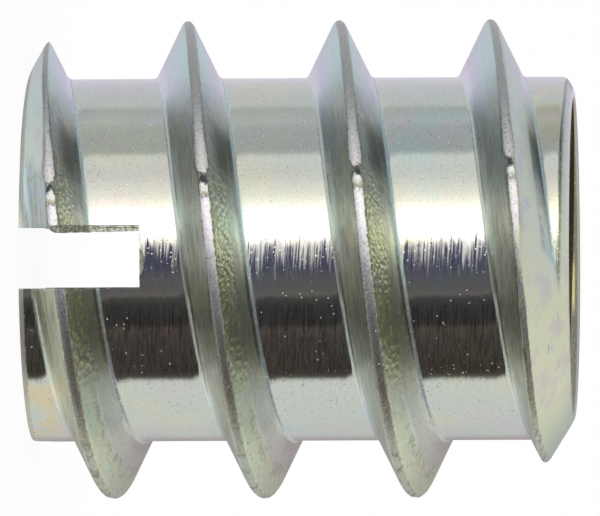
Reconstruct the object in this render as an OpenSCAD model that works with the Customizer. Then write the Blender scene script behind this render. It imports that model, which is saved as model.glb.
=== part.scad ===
// Screw-in threaded insert for wood, turned from one piece of steel.
// It stands on its slotted end, with the lead end up, and its axis is +Z.

/* [Body] */
// Length from the slotted end to the lead end
insert_len = 13.6; // [8:0.1:24]
// Diameter of the core between the turns of the wood thread
core_od = 9.1; // [8.6:0.1:10.6]

/* [Wood thread] */
// Diameter over the crest of the wood thread
thread_od = 12; // [11:0.1:15]
// Distance that the thread climbs in one right-handed turn
thread_pitch = 3.8; // [3:0.1:6]
// Radius of the rounded crest
crest_round = 0.16; // [0.05:0.01:0.3]
// Angle between the two flanks of the ridge
flank_angle = 51; // [30:1:60]
// Angle about the axis, from +X, where the crest leaves the slotted face
thread_start = 169; // [0:1:359]

/* [End chamfers] */
// Angle of the chamfer at the lead end, from the end face
lead_chamfer = 32; // [15:1:45]
// Angle of the chamfer at the slotted end, from the end face
drive_chamfer = 30; // [15:1:45]
// How far the chamfer at the lead end cuts in from the core
lead_cut = 0.4; // [0.1:0.05:0.6]
// How far outside the core the chamfer at the slotted end begins
drive_step = 0.25; // [0.05:0.05:0.6]

/* [Bore] */
// Diameter of the bore, the tapped size of an M8 machine thread
bore_d = 6.8; // [5:0.1:7.2]
// Angle between the sides of both countersinks
sink_angle = 120; // [60:5:140]
// Width of the flat ring left round the countersink at the lead end
lead_land = 0.1; // [0.05:0.05:0.2]
// Width of the countersink at the slotted end
drive_sink = 0.25; // [0.1:0.05:0.5]

/* [Drive slot] */
// Width of the slot for the driver blade
slot_w = 1.5; // [0.8:0.1:2.4]
// Depth of the slot below the slotted face
slot_depth = 3; // [1:0.1:5]

/* [Hidden] */

core_r = core_od / 2;
crest_r = thread_od / 2;
bore_r = bore_d / 2;
lead_face_r = core_r - lead_cut;
drive_face_r = core_r + drive_step;
lead_sink_r = lead_face_r - lead_land;
drive_sink_r = bore_r + drive_sink;
flank_half = flank_angle / 2;
// Radius at which the two flanks would meet without the round
apex_r = crest_r - crest_round + crest_round / sin(flank_half);

// Facets along one turn of the ridge, and over its crest
turn_steps = 66;
crest_steps = 4;
// How far the foot of the ridge is sunk into the core
foot_sink = 0.15;
// How far cutting shapes run past what they cut
past = 1;
$fn = 96;

// Height of a cone whose slope leaves the end face at angle
function cone_rise(radial, angle) = radial * tan(angle);

// Half the width of the ridge at radius r
function ridge_half_w(r) = (apex_r - r) * tan(flank_half);

// Corners of the ridge's section, as radius and height from its middle
function ridge_section() =
    let (foot_r = core_r - foot_sink,
         round_middle_r = crest_r - crest_round,
         reach = 90 - flank_half)
    [[foot_r, -ridge_half_w(foot_r)],
     for (step = [0:crest_steps])
         let (angle = reach * (2 * step / crest_steps - 1))
         [round_middle_r + crest_round * cos(angle), crest_round * sin(angle)],
     [foot_r, ridge_half_w(foot_r)]];

// The ridge, swept along its helix from below one end to above the other
module thread_ridge() {
    section = ridge_section();
    corners = len(section);
    first = -turn_steps;
    last = ceil((insert_len / thread_pitch + 1) * turn_steps);
    rings = last - first + 1;
    points = [
        for (step = [first:last], corner = section)
            let (turn = 360 * step / turn_steps,
                 angle = thread_start + turn,
                 rise = thread_pitch * step / turn_steps)
            [corner[0] * cos(angle), corner[0] * sin(angle), rise + corner[1]]
    ];
    sides = [
        for (ring = [0:rings - 2], c = [0:corners - 1])
            let (here = ring * corners,
                 there = here + corners,
                 d = (c + 1) % corners)
            each [[here + c, here + d, there + d],
                  [here + c, there + d, there + c]]
    ];
    start_cap = [[for (c = [corners - 1:-1:0]) c]];
    end_cap = [[for (c = [0:corners - 1]) (rings - 1) * corners + c]];
    polyhedron(points, concat(sides, start_cap, end_cap), convexity = 10);
}

// Room inside the end faces and the end chamfers
module end_form() {
    outer_r = crest_r + past;
    rotate_extrude()
        polygon([
            [0, 0],
            [drive_face_r, 0],
            [outer_r, cone_rise(outer_r - drive_face_r, drive_chamfer)],
            [outer_r, insert_len - cone_rise(outer_r - lead_face_r, lead_chamfer)],
            [lead_face_r, insert_len],
            [0, insert_len]
        ]);
}

// Bore with its countersinks
module bore() {
    slope = 90 - sink_angle / 2;
    rotate_extrude()
        polygon([
            [0, -past],
            [drive_sink_r + past / tan(slope), -past],
            [bore_r, cone_rise(drive_sink_r - bore_r, slope)],
            [bore_r, insert_len - cone_rise(lead_sink_r - bore_r, slope)],
            [lead_sink_r + past / tan(slope), insert_len + past],
            [0, insert_len + past]
        ]);
}

// Slot across the slotted end
module drive_slot() {
    reach = thread_od + 2 * past;
    translate([-slot_w / 2, -reach / 2, -past])
        cube([slot_w, reach, slot_depth + past]);
}

module insert_body() {
    color("lightgray")
        difference() {
            intersection() {
                union() {
                    cylinder(h = insert_len, r = core_r);
                    thread_ridge();
                }
                end_form();
            }
            bore();
            drive_slot();
        }
}

insert_body();
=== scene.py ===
"""The looks of the threaded insert.

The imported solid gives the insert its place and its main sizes.  This script
models the insert once more with its worn crest, root fillets, inner thread,
burred slot and plated finish, and sets up the studio and the camera.
"""

import logging
import math
from collections.abc import Callable, Iterator, Sequence
from contextlib import contextmanager
from dataclasses import dataclass
from enum import Enum

import bmesh
import bpy
from mathutils import Matrix, Vector, noise


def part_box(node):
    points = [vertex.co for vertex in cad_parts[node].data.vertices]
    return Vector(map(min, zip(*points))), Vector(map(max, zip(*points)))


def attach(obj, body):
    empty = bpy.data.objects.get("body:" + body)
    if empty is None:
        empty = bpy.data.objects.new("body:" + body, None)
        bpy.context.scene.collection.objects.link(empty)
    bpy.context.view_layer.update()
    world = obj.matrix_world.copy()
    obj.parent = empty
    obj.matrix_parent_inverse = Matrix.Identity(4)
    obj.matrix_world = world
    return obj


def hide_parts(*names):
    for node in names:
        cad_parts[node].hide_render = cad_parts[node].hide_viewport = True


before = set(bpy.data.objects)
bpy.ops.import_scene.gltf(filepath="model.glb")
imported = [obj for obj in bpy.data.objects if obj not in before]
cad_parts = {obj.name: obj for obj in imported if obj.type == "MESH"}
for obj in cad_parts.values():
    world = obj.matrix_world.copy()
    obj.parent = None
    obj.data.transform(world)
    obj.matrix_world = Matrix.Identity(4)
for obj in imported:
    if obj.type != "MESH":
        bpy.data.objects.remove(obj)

log = logging.getLogger("insert")

NODE = "insert_body"
BODY = "root"
METRE = 1000.0  # millimetres in a metre: meshes are worked in millimetres


class Pick(Enum):
    """What a click selects in edit mode."""

    VERTEX = "VERT"
    EDGE = "EDGE"


# --------------------------------------------------------------------------
# Work on meshes
# --------------------------------------------------------------------------


class Workpiece:
    """One mesh on the bench, in millimetres, shaped by edit-mode operators."""

    def __init__(self, name: str) -> None:
        """Takes up the primitive that was just added.

        Args:
            name: the object's name from here on.
        """
        self.obj = bpy.context.view_layer.objects.active
        self.obj.name = name
        self.obj.data.name = name

    @staticmethod
    def clear_selection() -> None:
        """Deselects every object."""
        bpy.ops.object.select_all(action="DESELECT")

    @staticmethod
    def take_all() -> None:
        """Selects the whole mesh, in edit mode."""
        bpy.ops.mesh.select_all(action="SELECT")

    @classmethod
    def point(cls, name: str, place: Sequence[float]) -> "Workpiece":
        """A plane merged into one point, from which a section is drawn.

        Args:
            name: the object's name.
            place: where the point stands.

        Returns:
            The piece, all of it one vertex.
        """
        cls.clear_selection()
        bpy.ops.mesh.primitive_plane_add(size=1)
        piece = cls(name)
        with piece.editing(Pick.VERTEX):
            piece.take_all()
            bpy.ops.mesh.merge(type="CENTER")
            bpy.ops.transform.translate(value=place)
        return piece

    @classmethod
    def rod(cls, name: str, radius: float, low: float, high: float, sides: int) -> "Workpiece":
        """A closed cylinder about the axis.

        Args:
            name: the object's name.
            radius: its radius.
            low: height of its foot.
            high: height of its top.
            sides: number of faces round it.

        Returns:
            The piece, with its place in its mesh.
        """
        cls.clear_selection()
        bpy.ops.mesh.primitive_cylinder_add(
            vertices=sides, radius=radius, depth=high - low, location=(0, 0, (low + high) / 2)
        )
        piece = cls(name)
        piece.settle()
        return piece

    @classmethod
    def block(cls, name: str, low: Sequence[float], high: Sequence[float]) -> "Workpiece":
        """A box between two corners.

        Args:
            name: the object's name.
            low: its lowest corner.
            high: its highest corner.

        Returns:
            The piece, with its place in its mesh.
        """
        cls.clear_selection()
        middle = [(a + b) / 2 for a, b in zip(low, high)]
        bpy.ops.mesh.primitive_cube_add(size=1, location=middle)
        piece = cls(name)
        piece.obj.scale = [b - a for a, b in zip(low, high)]
        piece.settle()
        return piece

    def activate(self) -> None:
        """Makes this the one selected, active object."""
        self.clear_selection()
        self.obj.select_set(True)
        bpy.context.view_layer.objects.active = self.obj

    def settle(self) -> None:
        """Moves the object's place, turn and size into its mesh."""
        self.activate()
        bpy.ops.object.transform_apply(location=True, rotation=True, scale=True)

    @contextmanager
    def editing(self, pick: Pick) -> Iterator[None]:
        """Opens the mesh in edit mode with nothing selected.

        Args:
            pick: what is selected in there.

        Yields:
            Nothing, while the mesh is open.
        """
        self.activate()
        bpy.ops.object.mode_set(mode="EDIT")
        bpy.ops.mesh.select_mode(type=pick.value)
        bpy.ops.mesh.select_all(action="DESELECT")
        yield
        bpy.ops.object.mode_set(mode="OBJECT")

    def select(self, pick: Pick, wanted: Callable[[Vector], bool]) -> None:
        """Selects, in edit mode, what has its middle in a wanted place.

        Args:
            pick: vertices or edges.
            wanted: says whether a place is wanted.
        """
        mesh = bmesh.from_edit_mesh(self.obj.data)
        bpy.ops.mesh.select_all(action="DESELECT")
        if pick is Pick.VERTEX:
            for vertex in mesh.verts:
                vertex.select_set(wanted(vertex.co))
        else:
            for edge in mesh.edges:
                edge.select_set(wanted((edge.verts[0].co + edge.verts[1].co) / 2))
        mesh.select_flush_mode()
        bmesh.update_edit_mesh(self.obj.data)

    def draw_on(self, steps: Sequence[Sequence[float]]) -> None:
        """Draws a line on from the selected point, in edit mode.

        Args:
            steps: each stretch of the line, as x, y and z.
        """
        for step in steps:
            bpy.ops.mesh.extrude_region_move(TRANSFORM_OT_translate={"value": step})

    def modify(self, kind: str, **settings: object) -> None:
        """Adds a modifier and applies it.

        Args:
            kind: the modifier's type.
            settings: its settings by name.
        """
        self.activate()
        modifier = self.obj.modifiers.new(kind.lower(), kind)
        for key, value in settings.items():
            setattr(modifier, key, value)
        bpy.ops.object.modifier_apply(modifier=modifier.name)

    def cut_away(self, cutter: "Workpiece") -> None:
        """Cuts another closed piece's shape out of this one, and uses it up.

        Args:
            cutter: the other piece, whose finish the cut faces get.
        """
        self.modify(
            "BOOLEAN",
            operation="DIFFERENCE",
            object=cutter.obj,
            solver="EXACT",
            material_mode="TRANSFER",
        )
        bpy.data.objects.remove(cutter.obj)

    def wear(self, shift: Callable[[Vector], Vector]) -> None:
        """Moves each vertex a little, as wear and handling do.

        Args:
            shift: the move at a place.
        """
        for vertex in self.obj.data.vertices:
            vertex.co += shift(vertex.co)
        self.obj.data.update()

    def merge_doubles(self, reach: float) -> None:
        """Merges points that lie together and turns all faces outwards.

        Args:
            reach: how close such points lie.
        """
        with self.editing(Pick.VERTEX):
            self.take_all()
            bpy.ops.mesh.remove_doubles(threshold=reach)
            self.take_all()
            bpy.ops.mesh.normals_make_consistent(inside=False)

    def wear_finish(self, material: bpy.types.Material) -> None:
        """Gives the whole piece one material.

        Args:
            material: that material.
        """
        self.obj.data.materials.clear()
        self.obj.data.materials.append(material)

    def bring_to_metres(self) -> None:
        """Shrinks the mesh from millimetres to metres."""
        self.obj.scale = [1 / METRE] * 3
        self.settle()


# --------------------------------------------------------------------------
# Shader graphs
# --------------------------------------------------------------------------


class Value:
    """A shader socket that takes part in sums written as Python expressions."""

    def __init__(self, graph: "Graph", socket: bpy.types.NodeSocket) -> None:
        """Wraps a socket.

        Args:
            graph: the graph that the socket is in.
            socket: the socket.
        """
        self.graph = graph
        self.socket = socket

    def _math(self, operation: str, *values: object) -> "Value":
        """A Math node on these values."""
        inputs = dict(enumerate(values))
        return self.graph.node("ShaderNodeMath", {"operation": operation}, inputs).out()

    def __add__(self, other: object) -> "Value":
        """self + other."""
        return self._math("ADD", self, other)

    __radd__ = __add__

    def __sub__(self, other: object) -> "Value":
        """self - other."""
        return self._math("SUBTRACT", self, other)

    def __rsub__(self, other: object) -> "Value":
        """other - self."""
        return self._math("SUBTRACT", other, self)

    def __mul__(self, other: object) -> "Value":
        """self * other."""
        return self._math("MULTIPLY", self, other)

    __rmul__ = __mul__

    def __truediv__(self, other: object) -> "Value":
        """self / other."""
        return self._math("DIVIDE", self, other)

    def root(self) -> "Value":
        """Its square root."""
        return self._math("SQRT", self)

    def size(self) -> "Value":
        """Its size without its sign."""
        return self._math("ABSOLUTE", self)

    def angle_to(self, along: "Value") -> "Value":
        """The angle of the point (along, self), in radians."""
        return self._math("ARCTAN2", self, along)

    def wrapped(self, low: float, high: float) -> "Value":
        """Itself, wrapped into a range."""
        return self._math("WRAP", self, high, low)

    def between(self, low: float, high: float, soft: float) -> "Value":
        """1 between two limits and 0 outside, with soft edges."""
        return self.step(low - soft, low + soft) * self.step(high + soft, high - soft)

    def held(self) -> "Value":
        """Itself, held between 0 and 1."""
        return self._math("MAXIMUM", self._math("MINIMUM", self, 1.0), 0.0)

    def most(self, other: object) -> "Value":
        """The larger of itself and another."""
        return self._math("MAXIMUM", self, other)

    def step(self, start: float, end: float) -> "Value":
        """A smooth step.

        Args:
            start: where it is 0.
            end: where it is 1, above start or below it.

        Returns:
            The step, 0 before start and 1 after end.
        """
        low, high, first, last = (start, end, 0.0, 1.0) if start < end else (end, start, 1.0, 0.0)
        return self.graph.node(
            "ShaderNodeMapRange",
            {"interpolation_type": "SMOOTHSTEP"},
            {"Value": self, "From Min": low, "From Max": high, "To Min": first, "To Max": last},
        ).out("Result")

    def span(self, start: float, end: float) -> "Value":
        """0 to 1 stretched in a straight line to start to end."""
        return self * (end - start) + start


class Made:
    """A node that was just made, asked for its outputs."""

    def __init__(self, graph: "Graph", node: bpy.types.Node) -> None:
        """Keeps the node.

        Args:
            graph: the graph that it is in.
            node: the node.
        """
        self.graph = graph
        self.node = node

    def out(self, name: str | int = 0) -> Value:
        """One of its outputs, by name or number."""
        return Value(self.graph, self.node.outputs[name])


class Graph:
    """The node tree of one material or of the world."""

    def __init__(self, owner: bpy.types.Material | bpy.types.World) -> None:
        """Empties the owner's tree.

        Args:
            owner: the material or world.
        """
        owner.use_nodes = True
        self.owner = owner
        self.tree = owner.node_tree
        self.tree.nodes.clear()

    def node(self, kind: str, settings: dict, inputs: dict) -> Made:
        """Makes one node.

        Args:
            kind: the node's type.
            settings: its settings by name; stops are those of a colour ramp.
            inputs: numbers, colours or links by the socket's name or number.

        Returns:
            The node, asked for its outputs with out().
        """
        node = self.tree.nodes.new(kind)
        for key, value in settings.items():
            if key == "stops":
                self._set_stops(node.color_ramp, value)
            else:
                setattr(node, key, value)
        for key, value in inputs.items():
            if isinstance(value, Value):
                self.tree.links.new(value.socket, node.inputs[key])
            else:
                node.inputs[key].default_value = value
        return Made(self, node)

    @staticmethod
    def _set_stops(ramp: bpy.types.ColorRamp, stops: Sequence[tuple]) -> None:
        """Sets the stops of a colour ramp.

        Args:
            ramp: the ramp.
            stops: the place and colour of each stop, in order.
        """
        while len(ramp.elements) < len(stops):
            ramp.elements.new(1.0)
        for element, (place, colour) in zip(ramp.elements, stops):
            element.position = place
            element.color = (*colour, 1.0)

    def vector(self, x: object, y: object, z: object) -> Value:
        """Three values as one vector."""
        return self.node("ShaderNodeCombineXYZ", {}, {"X": x, "Y": y, "Z": z}).out()

    def vector_math(self, operation: str, *values: object) -> Value:
        """A Vector Math node on these values."""
        inputs = dict(enumerate(values))
        return self.node("ShaderNodeVectorMath", {"operation": operation}, inputs).out()

    def scaled(self, vector: Value, by: object) -> Value:
        """A vector times a number."""
        inputs = {0: vector, "Scale": by}
        return self.node("ShaderNodeVectorMath", {"operation": "SCALE"}, inputs).out()

    def place(self) -> Value:
        """The point itself, in metres."""
        return self.node("ShaderNodeTexCoord", {}, {}).out("Object")

    def apart(self, vector: Value) -> tuple[Value, Value, Value]:
        """A vector's three values."""
        made = self.node("ShaderNodeSeparateXYZ", {}, {0: vector})
        return made.out("X"), made.out("Y"), made.out("Z")

    def mixed(self, amount: Value, base: "Paint", other: "Paint") -> Value:
        """A colour between two others.

        Args:
            amount: 0 for the base and 1 for the other.
            base: one colour.
            other: the other colour.

        Returns:
            The mixed colour.
        """
        settings = {"data_type": "RGBA", "blend_type": "MIX"}
        inputs = {"Factor": amount, 6: rgba(base), 7: rgba(other)}
        return self.node("ShaderNodeMix", settings, inputs).out(2)

    def noise(self, where: Value, scale: float, detail: float = 2.0, rough: float = 0.5) -> Value:
        """Smooth noise, about 0.5 on the average.

        Args:
            where: the place that it is read at.
            scale: waves in one unit of that place.
            detail: how many finer waves are laid over it.
            rough: how strong those are.
        """
        inputs = {"Vector": where, "Scale": scale, "Detail": detail, "Roughness": rough}
        return self.node("ShaderNodeTexNoise", {}, inputs).out(0)

    def cells(self, where: Value, scale: float) -> Value:
        """Distance to the nearest of many scattered points, in cells."""
        inputs = {"Vector": where, "Scale": scale}
        return self.node("ShaderNodeTexVoronoi", {"feature": "F1"}, inputs).out("Distance")

    def bump(self, height: Value, depth: float, facing: Value | None = None) -> Value:
        """The slope that a height gives a surface.

        Args:
            height: the height, as a share of the depth.
            depth: that depth, in millimetres.
            facing: the way the surface faces, or None for the mesh's own.

        Returns:
            The normal.
        """
        inputs = {"Strength": 1.0, "Distance": depth / METRE, "Height": height}
        if facing is not None:
            inputs["Normal"] = facing
        return self.node("ShaderNodeBump", {}, inputs).out()

    def metal(self, colour: Value, metallic: Value | float, rough: Value, normal: Value) -> None:
        """Ends the material's graph in bare or plated metal.

        Args:
            colour: its colour.
            metallic: how much of it is bare metal.
            rough: its roughness.
            normal: its slope.
        """
        inputs = {"Base Color": colour, "Metallic": metallic, "Roughness": rough, "Normal": normal}
        self.show(self.node("ShaderNodeBsdfPrincipled", {}, inputs))

    def show(self, surface: Made, output: str = "ShaderNodeOutputMaterial") -> None:
        """Puts a surface on the output of the material or the world."""
        self.node(output, {}, {"Surface": surface.out()})


Colour = tuple[float, float, float]
Paint = Colour | Value  # a colour that is the same all over, or one that changes
Stretch = tuple[float, float, float]  # where it starts, where it ends, how soft its ends are
WHITE: Colour = (1.0, 1.0, 1.0)


def rgba(paint: Paint) -> tuple[float, ...] | Value:
    """A colour as the four numbers that a socket takes, or the link that it is."""
    return paint if isinstance(paint, Value) else (*paint, 1.0)


class Coats:
    """A colour built up of coats, each laid over those before it."""

    def __init__(self, graph: Graph, first: Paint) -> None:
        """Starts with the lowest coat.

        Args:
            graph: the material's graph.
            first: the colour of that coat.
        """
        self.graph = graph
        self.colour = first

    def lay(self, amount: Value, paint: Paint) -> None:
        """Lays a coat, which hides those below where its amount is 1."""
        self.colour = self.graph.mixed(amount, self.colour, paint)


# --------------------------------------------------------------------------
# Sizes
# --------------------------------------------------------------------------


@dataclass(frozen=True)
class InsertSizes:
    """Sizes of the insert in millimetres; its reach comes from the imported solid."""

    length: float
    crest_r: float
    core_r: float = 4.55
    pitch: float = 3.8
    crest_round: float = 0.14
    flank: float = math.radians(25.5)  # from the plane across the axis
    thread_start: float = 169.0  # degrees from +X where the crest leaves the slotted face
    drive_face_r: float = 4.8
    lead_face_r: float = 4.15
    drive_chamfer: float = math.radians(30)
    lead_chamfer: float = math.radians(32)
    bore_r: float = 3.4
    bore_root_r: float = 4.0
    bore_pitch: float = 1.25
    lead_sink_r: float = 4.05
    drive_sink_r: float = 3.65
    sink_slope: float = math.radians(30)
    slot_w: float = 1.5
    slot_depth: float = 3.0

    @classmethod
    def of_frame(cls) -> "InsertSizes":
        """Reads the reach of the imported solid."""
        low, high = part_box(NODE)
        return cls(
            length=round((high.z - low.z) * METRE, 2),
            crest_r=round((high.x - low.x) * METRE / 2, 1),
        )

    @property
    def apex_r(self) -> float:
        """Radius at which the flanks would meet if the crest weren't rounded."""
        return self.crest_r - self.crest_round + self.crest_round / math.sin(self.flank)

    @property
    def crest_start(self) -> float:
        """Height of the crest over +X, on the turn below the slotted face."""
        return -self.pitch * self.thread_start / 360


# --------------------------------------------------------------------------
# Parts of the insert
# --------------------------------------------------------------------------


@dataclass(frozen=True)
class ThreadForm:
    """A screw thread: one turn of its section, carried up its helix."""

    name: str
    root_r: float
    tip_r: float
    tip_w: float
    pitch: float
    flank: float
    tip_bevel: float
    root_bevel: float
    turn_steps: int
    flank_cuts: int
    root_cuts: int
    tip_steps: int
    root_steps: int = 3
    near: float = 0.001  # how close a point is to a place that it stands on

    @property
    def foot(self) -> float:
        """Half the width of the ridge at its root."""
        return self.tip_w / 2 + (self.tip_r - self.root_r) * math.tan(self.flank)

    def corners(self) -> list[tuple[float, float]]:
        """The section's corners as radius and height, from valley to valley.

        Returns:
            The corners, from the lowest up.
        """
        half = self.pitch / 2
        edges = (-self.tip_w / 2, self.tip_w / 2) if self.tip_w else (0.0,)
        tips = [(self.tip_r, edge) for edge in edges]
        below = [(self.root_r, -half), (self.root_r, -self.foot)]
        above = [(self.root_r, self.foot), (self.root_r, half)]
        return below + tips + above

    def section(self, height: float) -> Workpiece:
        """Draws the section in the XZ plane and rounds its corners.

        Args:
            height: height of the crest's middle.

        Returns:
            The section as a line of edges.
        """
        corners = self.corners()
        first = corners[0]
        piece = Workpiece.point(self.name, (first[0], 0, height + first[1]))
        steps = [(b[0] - a[0], 0, b[1] - a[1]) for a, b in zip(corners, corners[1:])]
        with piece.editing(Pick.VERTEX):
            piece.take_all()
            piece.draw_on(steps)
            piece.select(Pick.VERTEX, lambda at: at.x > self.tip_r - self.near)
            bpy.ops.mesh.bevel(offset=self.tip_bevel, segments=self.tip_steps, affect="VERTICES")
            piece.select(Pick.VERTEX, lambda at: self._is_foot(at, height))
            bpy.ops.mesh.bevel(offset=self.root_bevel, segments=self.root_steps, affect="VERTICES")
            middle = (self.root_r + self.tip_r) / 2
            reach = (self.tip_r - self.root_r) / 4
            piece.select(Pick.EDGE, lambda at: abs(at.x - middle) < reach)
            bpy.ops.mesh.subdivide(number_cuts=self.flank_cuts)
            piece.select(Pick.EDGE, lambda at: at.x < self.root_r + self.near)
            bpy.ops.mesh.subdivide(number_cuts=self.root_cuts)
        return piece

    def _is_foot(self, at: Vector, height: float) -> bool:
        """Whether a point is where a flank meets the root."""
        in_root = at.x < self.root_r + self.near
        return in_root and abs(abs(at.z - height) - self.foot) < self.near

    def solid(self, low: float, high: float, height: float) -> Workpiece:
        """The threaded rod between two heights.

        Args:
            low: height of its foot.
            high: height of its top.
            height: height of the crest over +X, on any turn.

        Returns:
            A closed piece.
        """
        below = math.ceil((height - low) / self.pitch) + 1
        turns = below + math.ceil((high - height) / self.pitch) + 1
        piece = self.section(height - below * self.pitch)
        piece.modify(
            "SCREW",
            axis="Z",
            angle=2 * math.pi,
            screw_offset=self.pitch,
            iterations=turns,
            steps=self.turn_steps,
            render_steps=self.turn_steps,
        )
        with piece.editing(Pick.VERTEX):
            piece.take_all()
            bpy.ops.mesh.remove_doubles(threshold=self.near)
            for place, normal in ((low, -1), (high, 1)):
                piece.take_all()
                bpy.ops.mesh.bisect(
                    plane_co=(0, 0, place),
                    plane_no=(0, 0, normal),
                    use_fill=True,
                    clear_outer=True,
                )
            piece.take_all()
            bpy.ops.mesh.normals_make_consistent(inside=False)
        return piece


@dataclass(frozen=True)
class EndForm:
    """The turned ends: chamfers that run into the ridge, with soft edges."""

    sizes: InsertSizes
    drive_softness: float = 0.075
    lead_softness: float = 0.04
    rim_drop: float = 0.05
    rim_reach: float = 0.05
    lead_shift: float = 0.12  # the lead chamfer was turned slightly off centre
    ring_step: float = 0.04
    rings: int = 9
    skin: float = 1.0  # how deep under the chamfers the metal still moves

    def limit(self, height: float) -> float:
        """How far the chamfers let the metal reach at a height."""
        s = self.sizes
        return min(
            self._cone(s.drive_face_r, height, s.drive_chamfer),
            self._cone(s.lead_face_r, s.length - height, s.lead_chamfer),
        )

    def _cone(self, face_r: float, rise: float, angle: float) -> float:
        """Radius of one chamfer at a distance from its end face."""
        drop = self.rim_drop * math.exp(-rise / self.rim_reach)
        return face_r + rise / math.tan(angle) - drop

    def shift(self, place: Vector) -> Vector:
        """The move that brings a point of the threaded bar inside the chamfers.

        Args:
            place: where it is.

        Returns:
            The move, towards the axis.
        """
        leads = place.z > self.sizes.length / 2
        off = -self.lead_shift if leads else 0.0
        softness = self.lead_softness if leads else self.drive_softness
        arm = Vector((place.x - off, place.y, 0.0))
        radius = arm.length
        gap = radius - self.limit(place.z)
        if radius < self.sizes.lead_face_r / 2 or gap < -self.skin:
            return Vector((0, 0, 0))
        over = (gap + math.hypot(gap, 2 * softness)) / 2
        return arm * (-over / radius)

    def add_rings(self, piece: Workpiece) -> None:
        """Cuts rings of edges near both ends, so that they can be rounded.

        Args:
            piece: the threaded bar.
        """
        heights = [self.ring_step * (ring + 1) for ring in range(self.rings)]
        heights += [self.sizes.length - height for height in heights]
        with piece.editing(Pick.VERTEX):
            for height in heights:
                piece.take_all()
                bpy.ops.mesh.bisect(plane_co=(0, 0, height), plane_no=(0, 0, 1))


@dataclass(frozen=True)
class TappedBore:
    """The bore with its machine thread and the countersinks at its ends."""

    sizes: InsertSizes
    past: float = 0.5
    sides: int = 120
    crest_z: float = 0.4  # height of a crest over +X

    def thread(self) -> Workpiece:
        """The tapped hole as a closed piece, to be cut out of the body.

        Returns:
            The piece, longer than the body at both ends.
        """
        s = self.sizes
        groove = ThreadForm(
            name="bore_thread",
            root_r=s.bore_r,
            tip_r=s.bore_root_r,
            tip_w=s.bore_pitch / 8,
            pitch=s.bore_pitch,
            flank=math.radians(30),
            tip_bevel=0.03,
            root_bevel=0.03,
            turn_steps=self.sides,
            flank_cuts=1,
            root_cuts=1,
            tip_steps=2,
        )
        return groove.solid(-self.past, s.length + self.past, self.crest_z)

    def countersink(self, mouth_r: float, end: float, inward: int) -> Workpiece:
        """A cone that opens one end of the bore.

        Args:
            mouth_r: its radius in the end face.
            end: height of that face.
            inward: 1 if the bore lies above the face, -1 if below.

        Returns:
            A closed piece, to be cut out of the body.
        """
        s = self.sizes
        deep = (mouth_r - s.bore_r + self.past) * math.tan(s.sink_slope)
        tip = end + inward * deep
        out = end - inward * self.past
        piece = Workpiece.rod("countersink", mouth_r, min(tip, out), max(tip, out), self.sides)
        with piece.editing(Pick.VERTEX):
            wide = mouth_r + self.past / math.tan(s.sink_slope)
            for place, radius in ((tip, s.bore_r - self.past), (out, wide)):
                piece.select(Pick.VERTEX, lambda at: abs(at.z - place) < self.past / 100)
                shrink = radius / mouth_r
                bpy.ops.transform.resize(value=(shrink, shrink, 1))
        return piece


@dataclass(frozen=True)
class DriveSlot:
    """The sawn slot, with the burr that hangs over one of its edges."""

    sizes: InsertSizes
    past: float = 1.0
    cuts: int = 50
    off: float = -0.06  # the saw ran a little beside the middle
    burr_hang: float = 0.15
    burr_taper: float = 0.02  # how much less it hangs for each millimetre of depth
    burr_thick: float = 0.07
    burr_start: float = 0.84
    burr_rise: float = 0.16
    dip: float = 0.12  # how much deeper the slot's floor is in its middle
    dip_x: float = 0.035
    dip_w: float = 0.32  # half the width of that hollow
    rag: float = 0.02
    rag_waves: float = 6.0  # ragged waves in a millimetre
    overlap: float = 0.01

    @property
    def skin_y(self) -> float:
        """Where the saw's clean cut starts, under the skin on the near side."""
        return -(self.sizes.core_r - self.burr_thick)

    def saw(self) -> Workpiece:
        """The main cut, as a closed piece.

        Returns:
            The piece, to be cut out of the body.
        """
        s = self.sizes
        half = s.slot_w / 2
        low = (self.off - half, self.skin_y, -self.past)
        high = (self.off + half, s.crest_r + self.past, s.slot_depth)
        return Workpiece.block("slot_cut", low, high)

    def skin_cut(self) -> Workpiece:
        """The ragged cut through the near skin, which leaves the burr standing.

        Returns:
            The piece, to be cut out of the body.
        """
        s = self.sizes
        half = s.slot_w / 2
        low = (self.off - half, -(s.crest_r + self.past), -self.past)
        high = (self.off + half, self.skin_y + self.overlap, s.slot_depth)
        piece = Workpiece.block("skin_cut", low, high)
        with piece.editing(Pick.EDGE):
            piece.select(Pick.EDGE, lambda at: abs(at.x - self.off) < self.overlap)
            bpy.ops.mesh.subdivide(number_cuts=self.cuts)
            middle = (s.slot_depth - self.past) / 2
            piece.select(Pick.EDGE, lambda at: abs(at.z - middle) < self.overlap)
            bpy.ops.mesh.subdivide(number_cuts=self.cuts)
        piece.wear(self._rag)
        return piece

    def _rag(self, place: Vector) -> Vector:
        """Tears the clean cut's edges a little.

        Args:
            place: a point of the cut.

        Returns:
            The move of that point.
        """
        s = self.sizes
        half = s.slot_w / 2
        waves = Vector((place.x * self.rag_waves, 0.0, place.z * self.rag_waves))
        jitter = self.rag * noise.noise(waves)
        move = Vector((0, 0, 0))
        if place.x < self.off - half + self.overlap:
            start = (place.z - self.burr_start) / self.burr_rise
            hang = self.burr_hang - self.burr_taper * max(0.0, place.z)
            move.x += hang * min(1.0, max(0.0, start)) + jitter
        elif place.x > self.off + half - self.overlap and place.z > s.slot_depth / 2:
            move.x += jitter
        if place.z > s.slot_depth - self.overlap:
            across = (place.x - self.dip_x) / self.dip_w
            move.z += self.dip * math.sqrt(max(0.0, 1 - across * across)) + jitter / 2
        return move


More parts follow.
